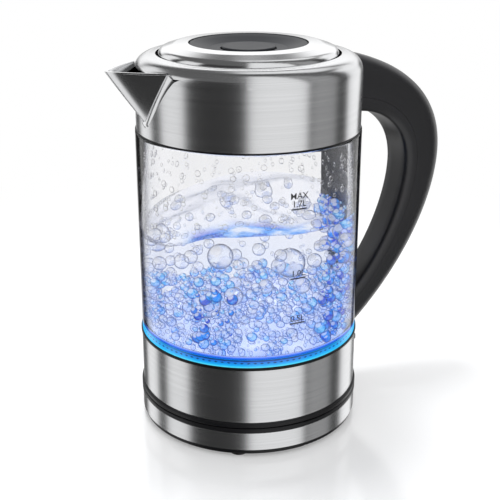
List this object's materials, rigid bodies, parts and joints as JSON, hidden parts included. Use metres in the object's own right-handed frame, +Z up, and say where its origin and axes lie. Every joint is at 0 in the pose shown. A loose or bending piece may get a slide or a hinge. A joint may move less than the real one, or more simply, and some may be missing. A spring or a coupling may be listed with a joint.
{
  "type": "electric kettle",
  "caption": "Cylindrical glass electric kettle with a steel collar and V spout, loop handle, hinged push-button lid and a round power base it lifts off and turns on.",
  "frame": {"origin": "centre of the plane the feet stand on, on the jug's axis", "axes": "+Z up the jug's axis, handle towards +X, spout towards -X, level marks side towards -Y"},
  "size_m": [0.2555, 0.1514, 0.2585],
  "materials": {
    "brushed_steel": "stainless steel brushed round the body",
    "polished_steel": "stainless steel, polished",
    "plate_steel": "matt stainless steel",
    "glass": "clear borosilicate glass",
    "light_guide": "translucent light guide, lit blue",
    "black_plastic": "black moulded plastic, satin",
    "handle_plastic": "black moulded plastic, satin",
    "dish_plastic": "dark grey satin plastic",
    "rubber": "black silicone rubber",
    "clear_silicone": "pale silicone rubber",
    "heat_plastic": "heat-resistant off-white plastic",
    "circuit_board": "green circuit board",
    "contact_brass": "brass",
    "element_alloy": "sheathed heating tube, dull",
    "spring_steel": "spring wire",
    "screw_steel": "zinc-plated steel"
  },
  "bodies": {
    "power_base": {"base_bottom_cover": "black_plastic", "base_feet": "rubber", "base_screws": "screw_steel", "base_band": "brushed_steel", "base_frame": "black_plastic", "base_top_cover": "black_plastic", "connector_post": "black_plastic", "connector_contacts": "contact_brass", "cord_grommet": "rubber"},
    "coupling": {"jug_socket": "black_plastic", "socket_contacts": "contact_brass"},
    "jug": {"bottom_cover": "black_plastic", "bottom_screws": "screw_steel", "lower_shell": "brushed_steel", "foot_seal": "rubber", "light_ring": "light_guide", "light_board": "circuit_board", "heating_plate": "plate_steel", "heating_element": "element_alloy", "thermostat_control": "heat_plastic", "switch_bracket": "heat_plastic", "glass_body": "glass", "top_seal": "rubber", "collar": "brushed_steel", "collar_liner": "black_plastic", "spout": "polished_steel", "spout_filter": "black_plastic", "handle_shell": "handle_plastic", "handle_cover": "handle_plastic", "handle_spine": "black_plastic", "handle_screws": "screw_steel"},
    "switch": {"switch_lever": "black_plastic"},
    "lid": {"lid_ring": "polished_steel", "lid_dish": "dish_plastic", "lid_tray": "black_plastic", "lid_seal": "clear_silicone", "hinge_pin": "screw_steel", "lid_spring": "spring_steel"},
    "button": {"lid_button": "dish_plastic", "button_spring": "spring_steel"},
    "latch": {"latch_slide": "heat_plastic"}
  },
  "joints": [
    {"name": "jug_lift", "type": "slide", "parent": "power_base", "child": "coupling", "axis": [0, 0, 1], "range_m": [0, 0.12]},
    {"name": "jug_swivel", "type": "hinge", "parent": "coupling", "child": "jug", "pos_m": [0, 0, 0.03], "axis": [0, 0, 1], "continuous": true},
    {"name": "lid_hinge", "type": "hinge", "parent": "jug", "child": "lid", "pos_m": [0.049, 0, 0.2528], "axis": [0, 1, 0], "range_deg": [0, 70]},
    {"name": "lid_button_press", "type": "slide", "parent": "lid", "child": "button", "axis": [0, 0, -1], "range_m": [0, 0.003], "stiffness_N_per_m": 600, "springref_m": -0.0012, "deforming": ["button_spring"]},
    {"name": "latch_draw", "type": "slide", "parent": "lid", "child": "latch", "axis": [1, 0, 0], "range_m": [0, 0.003]},
    {"name": "switch_tilt", "type": "hinge", "parent": "jug", "child": "switch", "pos_m": [0.0636, 0, 0.0355], "axis": [0, -1, 0], "range_deg": [0, 10]}
  ],
  "couplings": [
    {"joint": "latch_draw", "follows": "lid_button_press", "ratio": 1}
  ]
}
